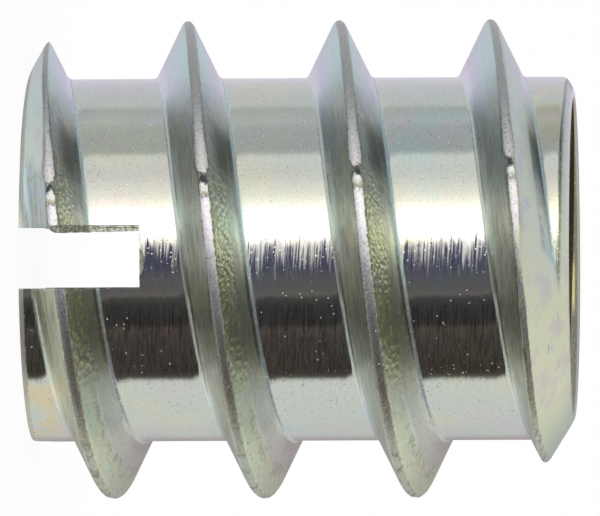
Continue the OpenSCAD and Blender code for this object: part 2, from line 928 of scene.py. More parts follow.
@dataclass(frozen=True)
class CrestWear:
    """How threading and tumbling have dented the crest."""

    sizes: InsertSizes
    reach: float = 0.2
    dent: float = 0.03
    dent_waves: float = 1.9  # dents in a millimetre
    nick_waves: float = 6.3  # smaller nicks in a millimetre
    nick: float = 0.2  # how deep a nick is beside a dent
    rubbed: float = 0.1  # what has gone all along, as a share of a dent

    def shift(self, place: Vector) -> Vector:
        """The move of a point of the threaded skin.

        Args:
            place: where it is.

        Returns:
            The move, nothing on the core.
        """
        s = self.sizes
        radius = math.hypot(place.x, place.y)
        if radius < s.core_r + s.crest_round:
            return Vector((0, 0, 0))
        outward = Vector((place.x, place.y, 0)) / radius
        share = max(0.0, 1 - (s.crest_r - radius) / self.reach)
        dents = min(0.0, noise.noise(place * self.dent_waves))
        dents += noise.noise(place * self.nick_waves) * self.nick - self.rubbed
        return outward * (self.dent * dents * share)


# --------------------------------------------------------------------------
# Finishes
# --------------------------------------------------------------------------


@dataclass(frozen=True)
class Helix:
    """Places on the insert as its threads see them, for the shaders."""

    above: Value  # signed distance above the nearest crest, in millimetres
    turns: Value  # turns climbed from the lowest crest
    radius: Value
    degrees: Value  # angle round the axis from +X, between -180 and 180
    x: Value
    y: Value
    z: Value
    place: Value  # the point itself, in millimetres
    outward: Value  # unit vector away from the axis
    turn_shift: float = 3.7  # how far the lines of one turn differ from the next one's

    @classmethod
    def of(cls, graph: Graph, pitch: float, start: float) -> "Helix":
        """Works the places out from Object coordinates.

        Args:
            graph: the material's graph.
            pitch: height of one turn.
            start: height of the crest over +X.

        Returns:
            The places.
        """
        place = graph.scaled(graph.place(), METRE)
        x, y, z = graph.apart(place)
        radius = (x * x + y * y).root()
        degrees = y.angle_to(x) * math.degrees(1)
        rise = z - start
        above = (rise - degrees * (pitch / 360)).wrapped(-pitch / 2, pitch / 2)
        turns = (rise - above) / pitch
        outward = graph.vector(x / radius, y / radius, 0.0)
        return cls(above, turns, radius, degrees, x, y, z, place, outward)

    def on(self, stretch: Stretch) -> Value:
        """1 on a stretch of each turn, given in degrees, and 0 off it."""
        return self.degrees.between(*stretch)

    def lines(self, graph: Graph, fine: float, length: float, **settings: float) -> Value:
        """Turning lines that run along the thread.

        Args:
            graph: the material's graph.
            fine: lines in one millimetre across them.
            length: how often they change in one radian along them.
            settings: detail and roughness of the noise.

        Returns:
            The lines, about 0.5 on the average.
        """
        across = graph.vector(self.above * fine, self.radius * fine, self.turns * self.turn_shift)
        along = graph.scaled(self.outward, length)
        return graph.noise(graph.vector_math("ADD", across, along), 1.0, **settings)


class SkinZones:
    """Regions of the plated skin, each 1 inside and 0 outside.

    The two numbers of a step are where it starts and where it is full, in
    millimetres or, for a noise or the share upward, as they come.
    """

    def __init__(self, graph: Graph, helix: Helix, steel: "PlatedSteel") -> None:
        """Tells the regions apart.

        Args:
            graph: the material's graph.
            helix: places on the insert.
            steel: the finish, for its sizes and stretches.
        """
        s, at = steel.sizes, steel.at
        wander = (helix.lines(graph, 9.0, 2.0, detail=3.0) - 0.5) * 28.0
        self.helix = helix
        self.torn = (graph.noise(helix.place, 9.0, detail=3.0, rough=0.7) - 0.5) * 0.10
        self.ridge = helix.radius.step(s.core_r + 0.02, s.core_r + 0.10)
        self.core = 1.0 - self.ridge
        self.leading = helix.above.step(-0.02, 0.02)  # the flank towards the lead end
        self.trailing = 1.0 - self.leading
        self.last_turn = helix.z.step(s.length - 3.1, s.length - 2.6)
        self.upward = (0.0 - helix.x) / helix.radius  # 1 at the side towards -X, -1 opposite
        self.near_side = helix.y.step(0.0, -1.0)  # the side towards the camera
        self.beside_slot = helix.z.step(s.slot_depth + 0.05, s.slot_depth - 0.05)
        self.blurred = self.upward.step(-0.60, -0.86)  # where the crest melts into the flanks
        # the stretch of each turn where the crest is left lighter: a painted highlight
        self.crest_highlight = (helix.degrees + self.torn * 90.0).between(*at.crest_highlight)
        self.streaked = (helix.degrees + wander).between(*at.streaked) * self.core
        self.scar = helix.degrees + (helix.z - steel.scar_z) * steel.scar_drift
        self.gap = (self.scar + self.torn * 55.0).between(*at.gap)  # torn in the crest
        self.chip = (self.scar + self.torn * 55.0).between(*at.chip)  # bright metal beside it
        self._tell_ends(s)
        self._tell_crest(steel)
        self.flank = self.ridge * (1.0 - self.chamfer)

    def _tell_ends(self, s: InsertSizes) -> None:
        """Marks the chamfers and the faces, and the root that runs out into them.

        Args:
            s: the insert's sizes.
        """
        helix, torn, ridge = self.helix, self.torn, self.ridge
        drive_gap = helix.radius - helix.z / math.tan(s.drive_chamfer) - s.drive_face_r
        lead_x = helix.x + EndForm.lead_shift
        lead_radius = (lead_x * lead_x + helix.y * helix.y).root()
        lead_gap = lead_radius - (s.length - helix.z) / math.tan(s.lead_chamfer) - s.lead_face_r
        on_drive = drive_gap.step(-0.20, -0.10) * ridge
        on_lead = (lead_gap.step(-0.16, -0.08) * ridge).most(lead_gap.step(-0.06, -0.02))
        last_flank = helix.z.step(s.length - 2.7, s.length - 2.0) * self.leading * ridge
        last_flank = last_flank * (helix.radius + torn).step(4.95, 5.15)
        self.cut = on_drive.most(on_lead)  # both chamfers
        self.outer_side = on_drive * self.leading + on_lead * self.trailing
        self.chamfer = self.cut.most(last_flank)
        self.under_flank = (s.apex_r - helix.radius) * math.tan(s.flank) - helix.above.size()
        bare = self.core * self.under_flank.step(0.05, -0.05)
        self.corner = lead_gap.between(-0.05, 0.0, 0.02) * helix.radius.step(4.4, 4.5) * bare
        self.rim = (helix.z + torn).step(0.15, 0.09) * helix.radius.step(4.3, 4.4)
        root = (helix.radius + torn * 0.3).between(s.core_r + 0.015, s.core_r + 0.06, 0.012)
        self.root = root * (1.0 - on_lead)
        burr = (helix.x + torn * 0.35).between(-0.86, -0.50, 0.015) * self.near_side
        self.burr = burr * self.beside_slot * helix.z.step(0.80, 0.95)

    def _tell_crest(self, steel: "PlatedSteel") -> None:
        """Marks the crest and the line along its edges.

        Args:
            steel: the finish, for the crest's width and stretches.
        """
        torn, half = self.torn, steel.crest_half
        widened = self.scar.between(*steel.at.widened) * 0.035
        pinched = self.scar.between(*steel.at.pinched) * 0.06
        off_crest = self.helix.above.size() + torn - widened + pinched + self.last_turn * 0.02
        outer_edge = (self.under_flank + torn).step(0.24, 0.20) * self.outer_side
        outer_line = (self.under_flank + torn).between(0.20, 0.24, 0.02) * self.outer_side
        crest = off_crest.step(half + 0.02, half - 0.02) * self.ridge
        self.crest = (crest * (1.0 - self.cut)).most(outer_edge)
        beyond = off_crest - self.last_turn * 0.03
        edge = off_crest.step(half - 0.012, half)
        edge = edge * beyond.step(half + 0.042, half + 0.03) * self.ridge
        self.crest_edge = (edge * (1.0 - self.cut)).most(outer_line) * (1.0 - self.crest)


@dataclass(frozen=True)
class SkinStretches:
    """Where marks lie on each turn, in degrees round the axis.

    The camera looks at -90 degrees, and -180 degrees is highest in its view.
    """

    # where the crest is left lighter: a painted highlight
    crest_highlight: Stretch = (-126.0, -74.0, 7.0)
    streaked: Stretch = (-97.0, -87.0, 5.0)
    gap: Stretch = (-113.3, -111.2, 0.7)
    chip: Stretch = (-111.2, -108.0, 0.7)
    widened: Stretch = (-122.0, -113.0, 4.0)
    pinched: Stretch = (-114.5, -111.5, 1.5)
    beaded: Stretch = (-90.0, -56.0, 8.0)
    heaped: Stretch = (-54.0, -50.5, 1.0)
    calm: Stretch = (-84.0, -50.0, 4.0)
    # where painted shade lies along the lines on the core
    core_band_shade: Stretch = (-76.0, -51.5, 2.0)
    tanned: Stretch = (-148.0, -127.0, 3.0)
    unpitted: Stretch = (-113.0, -95.0, 3.0)
    mottled: Stretch = (-150.0, -104.0, 6.0)
    front: Stretch = (-106.0, -58.0, 9.0)
    lower: Stretch = (-52.0, 20.0, 8.0)
    hatched: Stretch = (-134.0, -92.0, 6.0)
    faintly_hatched: Stretch = (-62.0, 30.0, 8.0)
    combed: Stretch = (-86.0, -36.0, 4.0)
    # where painted shade lies on the inner leading flank
    inner_flank_shade: Stretch = (-99.0, -78.0, 5.0)
    # where painted shade lies near the leading root
    leading_root_shade: Stretch = (-129.0, -114.0, 4.0)
    # where painted shade lies in the trailing root
    trailing_root_shade: Stretch = (-95.0, -78.0, 3.0)
    # where a painted reflection glows up from the roots
    root_reflection: Stretch = (-125.0, -86.0, 8.0)


@dataclass(frozen=True)
class PlatedSteel:
    """Bright zinc over turned steel, faintly coloured by its passivation."""

    sizes: InsertSizes
    name: str = "plated_thread"
    zinc: Colour = (0.78, 0.79, 0.77)
    cool: Colour = (0.70, 0.80, 0.82)
    warm: Colour = (0.85, 0.82, 0.71)
    pink: Colour = (0.82, 0.74, 0.80)
    olive: Colour = (0.72, 0.75, 0.64)
    yellow_green: Colour = (0.74, 0.77, 0.38)
    cyan: Colour = (0.36, 0.56, 0.66)
    cream: Colour = (0.90, 0.88, 0.73)
    slate: Colour = (0.58, 0.61, 0.70)
    moss: Colour = (0.60, 0.68, 0.50)
    straw: Colour = (0.80, 0.80, 0.60)
    ash: Colour = (0.70, 0.68, 0.71)
    rust: Colour = (0.50, 0.42, 0.34)
    tan: Colour = (0.80, 0.70, 0.52)
    amber: Colour = (0.92, 0.76, 0.52)
    sea: Colour = (0.68, 0.86, 0.82)
    lilac: Colour = (0.84, 0.81, 0.95)
    burnish: Colour = (0.88, 0.85, 0.90)
    worn_edge: Colour = (0.66, 0.64, 0.58)
    navy: Colour = (0.18, 0.25, 0.33)
    # colour of the painted highlight in the trailing root and of the painted reflection glowing up from
    # the roots
    frost_highlight: Colour = (0.80, 0.90, 0.92)
    # colour of dirt in lines and pits, and of painted shade on the core's dark band, the inner flank and
    # the crest
    grime_and_shade: Colour = (0.30, 0.28, 0.25)
    # colour of the painted shade in the roots
    painted_shade: Colour = (0.20, 0.20, 0.19)
    black: Colour = (0.07, 0.07, 0.08)
    burr_dirt: Colour = (0.34, 0.32, 0.26)
    dust: Colour = (0.92, 0.93, 0.92)
    dusting: float = 0.8  # how far the dust hides what is under it
    root_dirt: float = 0.3  # how much less metallic the root and the rim are
    crest_half: float = 0.115
    scar_z: float = 9.8  # height at which the crest's gap lies on its stretch
    scar_drift: float = 0.53  # degrees nearer to -180 for each millimetre above that
    bump_depth: float = 0.02
    at: SkinStretches = SkinStretches()

    def material(self) -> bpy.types.Material:
        """Builds the material of the skin."""
        return PlatedSkin(self).material()


class PlatedSkin:
    """The skin's material while it is made, region by region.

    Each coat has an amount, which says where and how strongly it lies, and a
    colour of the finish or of painted light and shade.  Later coats lie over earlier ones.
    """

    def __init__(self, steel: PlatedSteel) -> None:
        """Tells the regions apart and makes the marks that several coats share.

        Args:
            steel: the finish with its colours.
        """
        s = steel.sizes
        self.steel = steel
        self.graph = Graph(bpy.data.materials.new(steel.name))
        self.helix = Helix.of(self.graph, s.pitch, s.crest_start)
        self.zones = SkinZones(self.graph, self.helix, steel)
        self.wavy = (self.noise(2.5, detail=3.0) - 0.5) * 0.3
        self.blot = self.noise(1.1, detail=3.0)
        self.mottle = self.noise(3.2, detail=4.0, rough=0.65)
        self.fine = self.noise(14.0, detail=2.0)
        self.grain = self.noise(24.0, detail=2.0, rough=0.7)
        self.outer = self.helix.radius.step(5.05, 5.3)
        grained = self.grain.step(0.45, 0.75) * (self.zones.ridge * 0.2 + 0.12)
        self.worn = self.fine.step(0.5, 0.8) * 0.22 + grained
        self.lines = self._lines()
        self.hammered = self._hammered()
        self.dust = self._dust()
        self.coats = Coats(self.graph, steel.zinc)

    def noise(self, scale: float, **settings: float) -> Value:
        """Smooth noise over the insert, about 0.5 on the average."""
        return self.graph.noise(self.helix.place, scale, **settings)

    def cells(self, scale: float) -> Value:
        """Distance to the nearest of points scattered over the insert."""
        return self.graph.cells(self.helix.place, scale)

    def material(self) -> bpy.types.Material:
        """Lays all the coats, from the zinc out to the dust.

        Returns:
            The finished material.
        """
        self._plate()
        self._colour_flanks()
        self._colour_lower_flanks()
        self._wear_flanks()
        self._mark_core()
        self._colour_roots()
        self._rub_crest()
        self._finish_ends()
        dusted = self.dust * self.steel.dusting
        self.coats.lay(dusted, self.steel.dust)
        dirt = self.steel.root_dirt
        bare = (1.0 - dusted - self.zones.root * dirt - self.zones.rim * dirt).held()
        self.graph.metal(self.coats.colour, bare, self._roughness(), self._normal())
        return self.graph.owner

    def _lines(self) -> Value:
        """Turned lines on the ridge and finer streaks on the core.

        Returns:
            The lines, about 0.5 on the average.
        """
        lines = self.helix.lines(self.graph, 15.0, 7.0, detail=4.0, rough=0.7)
        streaks = self.helix.lines(self.graph, 17.0, 15.0, detail=5.0, rough=0.85)
        return lines + (streaks - lines) * self.zones.core

    def _hammered(self) -> Value:
        """Chatter dents on the flank, 1 at their bottoms.

        Returns:
            The dents' depth.
        """
        warp = self.noise(10.0, detail=2.0)
        small, large = (self.cells(size) for size in (7.5, 4.8))
        dents = small + (large - small) * self.helix.degrees.step(-86.0, -72.0)
        return 1.0 - (dents * 1.5 + (warp - 0.5) * 0.6).held()

    def _dust(self) -> Value:
        """Fine white specks of plating dust, thickest where the core is scratched.

        Returns:
            1 on a speck and 0 beside it.
        """
        zones, at = self.zones, self.steel.at
        near = self.cells(8.0)
        crowd = self.noise(0.9, detail=2.0).step(0.38, 0.62)
        heap = self.helix.on(at.heaped) * zones.core
        calm = self.helix.on(at.calm) * zones.core
        thick = self.noise(5.0).span(0.04, 0.17) - calm * 0.05
        thick = thick + zones.streaked * 0.10 + heap * 0.05
        amount = (crowd + zones.streaked * 0.6 + heap * 0.2).held() * (1.0 - calm * 0.5)
        return (thick - near).step(0.0, 0.05) * amount

    def _plate(self) -> None:
        """The zinc with its faint bands of yellow, blue and pink, with stains and specks."""
        c, helix, zones, blot = self.steel, self.helix, self.zones, self.blot
        lay = self.coats.lay
        drift = self.noise(0.45, detail=3.0)
        lay(drift.step(0.5, 0.72), c.warm)
        lay(drift.step(0.45, 0.3), c.cool)
        lay(blot.step(0.52, 0.7) * 0.7, c.pink)
        stain_and_glint = zones.upward.between(-0.97, -0.66, 0.03) * helix.z.step(1.0, 0.6)
        lay(stain_and_glint * zones.near_side * blot.step(0.35, 0.5) * 0.8, c.amber)
        elsewhere = self.graph.vector_math("ADD", helix.place, (3.0, 1.0, 7.0))
        specks = self.graph.cells(elsewhere, 5.5).step(0.17, 0.06)
        specks = specks * blot.step(0.40, 0.60) * (1.0 - helix.on(c.at.unpitted))
        lay(specks * 0.6, c.grime_and_shade)
        lay(self.worn, c.grime_and_shade)
        flecks = self.noise(11.0, detail=2.0, rough=0.6).step(0.68, 0.76) * zones.ridge
        lay(flecks * 0.6, c.dust)

    def _colour_flanks(self) -> None:
        """Olive flanks, mottled above, with a painted sheen at the top, painted shade near the leading
        root and a hammered front.
        """
        c, helix, zones, mottle = self.steel, self.helix, self.zones, self.mottle
        lay = self.coats.lay
        lay(zones.flank * 0.45, c.olive)
        upper = helix.on(c.at.mottled) * zones.flank
        lay(mottle.step(0.47, 0.60) * upper * 0.75, c.slate)
        lay(mottle.step(0.44, 0.34) * upper * 0.6, c.moss)
        # painted sheen on the flank's upper side: sea green outside, lilac inside
        sheen = self.graph.mixed(helix.radius.step(5.7, 4.9), c.sea, c.lilac)
        lay(zones.flank * zones.upward.step(0.62, 0.92) * 0.8, sheen)
        patch = self.hammered * 0.5 + self.blot.step(0.35, 0.55) * 0.5
        patch = patch * self.outer * helix.on(c.at.front) * zones.leading
        lay(patch * zones.flank * 0.72, c.yellow_green)
        # painted shade on the inner leading flank, near its root
        leading_root_shade = helix.on(c.at.leading_root_shade) * zones.leading * zones.flank
        leading_root_shade = leading_root_shade * (helix.radius + self.wavy * 0.5).step(5.7, 5.25)
        leading_root_shade = leading_root_shade * (self.fine * 0.6 + self.lines * 0.8).step(0.42, 0.66)
        lay(leading_root_shade * 0.9, c.painted_shade)
        slant = (helix.radius * 8.0 + helix.degrees) * 0.7
        across = self.graph.vector(slant, helix.radius * 3.0, helix.z * 0.3)
        hatching = self.graph.noise(across, 1.0, detail=2.0)
        hatched = helix.on(c.at.hatched) * (0.3 + mottle.step(0.45, 0.55) * 0.2)
        hatched = (hatched + helix.on(c.at.faintly_hatched) * 0.12) * zones.leading * zones.flank
        lay(hatching.step(0.5, 0.4) * hatched, c.grime_and_shade)

    def _colour_lower_flanks(self) -> None:
        """The flank below: straw and sea green inside, ash outside, pitted and freckled."""
        c, helix, zones, mottle = self.steel, self.helix, self.zones, self.mottle
        lay = self.coats.lay
        below = helix.on(c.at.lower) * zones.leading * zones.flank
        waved = helix.radius + (self.blot - 0.5) * 0.3
        straw = Coats(self.graph, c.straw)
        straw.lay(mottle.step(0.48, 0.60) * 0.8, c.sea)
        straw.lay(mottle.step(0.46, 0.36) * 0.8, c.ash)
        inner = waved.step(5.32, 5.22)
        lay(below * 0.7, self.graph.mixed(inner, straw.colour, c.ash))
        pitted = below * (helix.radius + self.wavy).between(5.22, 5.5, 0.08)
        pitted = pitted * mottle.step(0.44, 0.56)
        lay(pitted * self.fine.step(0.35, 0.55) * 0.6, c.grime_and_shade)
        freckled = below * self.noise(8.0, detail=3.0, rough=0.7).step(0.56, 0.68)
        lay(freckled * 0.5, c.grime_and_shade)
        craters = self.cells(3.6).step(0.24, 0.10) * mottle.step(0.42, 0.52)
        lay(craters * below * self.outer * 0.55, c.grime_and_shade)
        brow = waved.between(5.22, 5.32, 0.03)
        lay(below * brow * zones.upward.step(-0.95, -0.8) * 0.5, c.dust)

    def _wear_flanks(self) -> None:
        """Shade in the turned lines, a painted sheen low on the trailing flank and the combed first turn.
        """
        c, helix, zones, lines = self.steel, self.helix, self.zones, self.lines
        lay = self.coats.lay
        radius = helix.radius + self.wavy
        plain = zones.upward.size().step(0.5, 0.85) * 0.45
        shade = lines + (self.grain - 0.5) * 0.35 + (self.mottle - 0.5) * 0.4
        shade = shade.step(0.60, 0.38) * zones.flank
        lay(shade * (0.58 - zones.leading * 0.20 - plain), c.grime_and_shade)
        # painted sheen low on the trailing flank, near its root
        tint = self.graph.mixed(radius.step(4.95, 4.75), c.sea, c.lilac)
        lower_sheen = zones.upward.step(-0.62, -0.74) * radius.step(5.35, 5.05)
        lay(lower_sheen * zones.trailing * zones.flank * 0.8, tint)
        combed = helix.on(c.at.combed) * zones.trailing * zones.flank * helix.z.step(2.6, 2.3)
        lay(combed * 0.6, c.straw)
        lay(lines.step(0.50, 0.43) * combed * 0.7, c.grime_and_shade)

    def _mark_core(self) -> None:
        """Painted shade along the turned lines on the core's dark band, and tan on its last turn."""
        c, helix, zones = self.steel, self.helix, self.zones
        # painted shade along the turned lines on the core's dark band
        core_band_shade = helix.on(c.at.core_band_shade) * zones.core
        self.coats.lay(self.lines.step(0.42, 0.60) * core_band_shade * 0.8, c.grime_and_shade)
        tanned = helix.on(c.at.tanned) * zones.core
        tanned = tanned * helix.z.step(c.sizes.length - 2.2, c.sizes.length - 1.9)
        self.coats.lay(tanned * 0.6, c.tan)

    def _colour_roots(self) -> None:
        """Painted shade in the leading root, a painted highlight in the trailing one with painted shade
        over its dark stretch, painted shade on the inner leading flank, and a painted reflection glowing
        up from the root.
        """
        c, helix, zones, fine = self.steel, self.helix, self.zones, self.fine
        lay = self.coats.lay
        # painted shade line in the leading root: cyan, turning navy lower down in the core's dark band
        line = self.graph.mixed(helix.degrees.step(-88.0, -72.0), c.cyan, c.navy)
        broken = fine.step(0.30, 0.45) * zones.upward.step(-1.0, -0.8)
        lay(zones.root * zones.leading * broken * 0.8, line)
        # painted pale highlight in the trailing root, with painted shade over it in its dark stretch
        trailing = zones.root * zones.trailing
        lay(trailing * (0.2 + fine.step(0.40, 0.60) * 0.35), c.frost_highlight)
        lay(trailing * helix.on(c.at.trailing_root_shade) * 0.9, c.painted_shade)
        # painted shade on the inner leading flank
        inner_flank_shade = helix.on(c.at.inner_flank_shade) * (helix.radius + self.wavy).step(5.30, 5.0)
        inner_flank_shade = inner_flank_shade * zones.leading * zones.flank
        lay(inner_flank_shade * (0.25 + self.mottle.step(0.42, 0.58) * 0.3), c.grime_and_shade)
        # painted reflection: a pale glow up the flanks from the root, stronger on the trailing flank
        foot = c.sizes.core_r
        glow = (helix.radius + self.wavy * 0.6).between(foot + 0.05, foot + 0.36, 0.1)
        glow = glow * zones.ridge * helix.on(c.at.root_reflection)
        lay(glow * (0.9 - zones.leading * 0.5), c.frost_highlight)

    def _rub_crest(self) -> None:
        """The crest in its burnish colour with its soil, painted shade and painted highlight, its gap and
        chip, and the line along it.
        """
        c, zones, fine = self.steel, self.zones, self.fine
        tint = Coats(self.graph, c.lilac)
        tint.lay(self.noise(5.0).step(0.4, 0.6), c.burnish)
        tint.lay(zones.upward.step(0.55, 0.75) * 0.35, c.worn_edge)
        tint.lay(self.helix.degrees.step(-74.0, -62.0) * 0.8, c.warm)
        # soil and painted shade on the crest
        tint.lay(self._soil_and_shade(), c.grime_and_shade)
        rust = (zones.scar + (fine - 0.5) * 3.0).step(-110.2, -108.4)
        tint.lay(zones.chip, self.graph.mixed(rust * 0.75, c.dust, c.rust))
        tint.lay(zones.gap, c.black)
        blotches = self.noise(3.5, detail=3.0, rough=0.7).step(0.48, 0.62)
        melted = self.graph.mixed(blotches * 0.75 + 0.14, self.coats.colour, c.grime_and_shade)
        tint.lay(zones.blurred * 0.8, melted)
        self.coats.lay(zones.crest, tint.colour)
        edge = zones.crest_edge * fine.step(0.35, 0.6) * zones.upward.step(-0.8, -0.4)
        edge = edge * (1.0 - zones.upward.step(0.5, 0.75) * (1.0 - zones.leading * 0.6))
        self.coats.lay(edge * 0.85, c.grime_and_shade)

    def _soil_and_shade(self) -> Value:
        """How far the crest is darkened: speckled and beaded, with painted shade towards its top and
        bottom and above its gap, and less speckle under its painted highlight.

        Returns:
            The soil and painted shade, from 0 to 1.
        """
        zones, fine = self.zones, self.fine
        # less speckle where the crest's painted highlight lies
        speckle = fine.step(0.38, 0.66) * (1.0 - zones.crest_highlight * 0.9)
        speckle = speckle * (1.0 - zones.upward.step(0.5, 0.7) * 0.6)
        # painted shade on the crest, towards its top and more towards its bottom
        crest_shade = zones.upward.size().step(0.45, 0.7) * 0.16
        crest_shade = crest_shade + zones.upward.step(-0.45, -0.7) * 0.28
        # painted shade on the crest above its gap
        shade_above_gap = zones.scar.step(-112.0, -114.0) * 0.20
        beads = self.cells(15.0).step(0.30, 0.50)
        beaded = self.helix.on(self.steel.at.beaded) + zones.last_turn * zones.crest_highlight * 0.7
        soil_and_shade = speckle * 0.36 + crest_shade + shade_above_gap + self.grain.step(0.5, 0.7) * 0.25
        soil_and_shade = soil_and_shade + beads * beaded * 0.20 + fine.step(0.50, 0.66) * zones.crest_highlight * 0.3
        return soil_and_shade.held()

    def _finish_ends(self) -> None:
        """Cream chamfers with scratches, a dirty corner, the rim, the burr and a painted highlight along
        the slot's lower edge.
        """
        c, helix, zones, fine = self.steel, self.helix, self.zones, self.fine
        lay = self.coats.lay
        scratch = helix.lines(self.graph, 9.0, 12.0, detail=2.0).step(0.71, 0.77) * zones.chamfer
        cream = Coats(self.graph, c.cream)
        cream.lay(self.blot.step(0.50, 0.68), c.pink)
        cream.lay(zones.upward.step(-0.75, -0.98) * 0.6, c.sea)
        cream.lay(zones.upward.step(0.35, 0.8) * 0.6, c.cool)
        cream.lay(scratch * 0.7 + self.worn * 0.6, c.grime_and_shade)
        lay(zones.chamfer * (1.0 - zones.crest) * 0.85, cream.colour)
        lay(zones.corner * fine.step(0.3, 0.5) * 0.8, c.grime_and_shade)
        lay(zones.rim * 0.8, c.worn_edge)
        lay(zones.burr, self.graph.mixed(fine.step(0.40, 0.62) * 0.8, c.burr_dirt, c.zinc))
        # painted highlight along the slot's lower edge, in the dust colour
        lip_highlight = helix.x.between(0.68, 0.735, 0.01) * zones.near_side * zones.beside_slot
        lay(lip_highlight * fine.step(0.42, 0.55) * 0.8, c.dust)

    def _roughness(self) -> Value:
        """Glossy on the core, with rougher lines in it, and satin on the ridge.

        Returns:
            The roughness.
        """
        zones = self.zones
        core = 0.09 + self.lines.step(0.42, 0.62) * (zones.streaked * 0.27 + 0.04)
        ridge = self.lines.span(0.26, 0.42) - self.helix.radius.step(4.95, 4.65) * 0.12
        rough = core + (ridge - core) * zones.ridge
        rough = rough + zones.crest * (0.42 - rough)
        rough = rough + (zones.chamfer * 0.40 - zones.chamfer * rough)
        rough = rough + self.dust * 0.3 + zones.root * 0.2 + zones.rim * 0.3
        return (rough + zones.burr * 0.3).held()

    def _facing(self) -> Value:
        """The way the skin faces, with the crest rubbed flat and the streaks tilted.

        Returns:
            The normal before dents and pits.
        """
        graph, zones, outward = self.graph, self.zones, self.helix.outward
        facing = graph.node("ShaderNodeNewGeometry", {}, {}).out("Normal")
        flat = graph.scaled(outward, zones.crest * (1.6 - zones.blurred * 1.1))
        sideways = graph.vector_math("CROSS_PRODUCT", outward, (0.0, 0.0, 1.0))
        tilt = graph.scaled(sideways, (self.lines - 0.54) * (zones.streaked * 0.44 + 0.05))
        facing = graph.vector_math("ADD", facing, flat)
        facing = graph.vector_math("ADD", facing, tilt)
        return graph.vector_math("NORMALIZE", facing)

    def _normal(self) -> Value:
        """The surface's slope: turned lines, dents, pits, grit and tears.

        Returns:
            The normal.
        """
        helix, zones = self.helix, self.zones
        pits = self.cells(6.0).step(0.16, 0.02)
        pits = pits * self.noise(1.3, detail=2.0).step(0.45, 0.6)
        pits = pits * (1.0 - helix.on(self.steel.at.unpitted))
        tears = self.noise(10.0, detail=3.0, rough=0.7)
        grit = self.noise(22.0, detail=2.0, rough=0.7)
        torn_crest = zones.crest * (zones.gap + zones.chip) * 1.5
        flank = zones.ridge * (1.0 - zones.crest) * (1.0 - zones.chamfer)
        dented = zones.leading * flank * helix.radius.step(4.95, 5.35)
        dented = dented * zones.upward.between(-0.56, 0.5, 0.12)
        height = (
            self.lines * flank * 0.06
            - self.hammered * dented * 0.9
            - pits * 0.8
            + tears * torn_crest
            + grit * zones.crest * 0.05
            + tears * (zones.burr * 1.5 + flank * 0.15 + zones.chamfer * 0.12 + 0.02)
        )
        return self.graph.bump(height, self.steel.bump_depth, self._facing())


@dataclass(frozen=True)
class TappedSteel:
    """The tapped bore: thinner plating, darker in its grooves, with painted shade just inside its lead
    mouth and a painted yellow glint there.
    """

    sizes: InsertSizes
    name: str = "tapped_bore"
    bright: Colour = (0.66, 0.64, 0.54)
    dark: Colour = (0.34, 0.31, 0.22)
    # colour of the painted shade just inside the lead mouth
    painted_shade: Colour = (0.24, 0.21, 0.15)
    rim: Colour = (0.62, 0.62, 0.59)
    gold_glint: Colour = (0.95, 0.80, 0.38)
    # where the painted yellow glint lies inside the bore
    glint_degrees: Stretch = (70.0, 88.0, 4.0)  # degrees round the axis
    bump_depth: float = 0.01

    def material(self) -> bpy.types.Material:
        """Builds the material of the bore.

        Returns:
            The finished material.
        """
        s = self.sizes
        graph = Graph(bpy.data.materials.new(self.name))
        helix = Helix.of(graph, s.bore_pitch, 0.0)
        deep = helix.radius.step(s.bore_r + 0.1, s.bore_root_r)
        blotch = graph.noise(helix.place, 1.5, detail=3.0)
        below_lead = s.length - helix.z
        inside = below_lead.step(0.05, 0.08)
        coats = Coats(graph, self.bright)
        coats.lay((deep * 0.6 + blotch * 0.5).held(), self.dark)
        # painted shade just inside the lead mouth, fading out by 3 mm in
        coats.lay(inside * below_lead.step(3.0, 1.0) * 0.78, self.painted_shade)
        coats.lay((1.0 - inside) * 0.7, self.rim)
        # painted yellow glint inside the bore, near the lead end
        stain_and_glint = helix.on(self.glint_degrees) * below_lead.between(0.13, 0.20, 0.02)
        coats.lay(stain_and_glint * blotch.step(0.3, 0.5), self.gold_glint)
        specks = graph.noise(helix.place, 14.0, detail=2.0).step(0.55, 0.7) * inside
        coats.lay(specks * 0.6, self.bright)
        across = graph.vector(helix.above, helix.turns, helix.radius)
        lines = graph.noise(across, 12.0, detail=3.0)
        graph.metal(coats.colour, 0.8, lines.span(0.35, 0.6), graph.bump(lines, self.bump_depth))
        return graph.owner


@dataclass(frozen=True)
class SawnSteel:
    """The slot's faces: sawn, with ridged marks along the cut."""

    sizes: InsertSizes
    name: str = "sawn_slot"
    bright: Colour = (0.62, 0.60, 0.55)
    dark: Colour = (0.24, 0.22, 0.18)
    bump_depth: float = 0.03

    def material(self) -> bpy.types.Material:
        """Builds the material of the slot.

        Returns:
            The finished material.
        """
        graph = Graph(bpy.data.materials.new(self.name))
        helix = Helix.of(graph, self.sizes.pitch, 0.0)
        along = graph.vector(helix.x * 2.0, helix.y * 0.4, helix.z * 3.0)
        marks = graph.noise(along, 4.0, detail=4.0, rough=0.7)
        colour = graph.mixed(marks.step(0.35, 0.65), self.dark, self.bright)
        graph.metal(colour, 1.0, marks.span(0.3, 0.55), graph.bump(marks, self.bump_depth))
        return graph.owner


# --------------------------------------------------------------------------
# The insert
# --------------------------------------------------------------------------


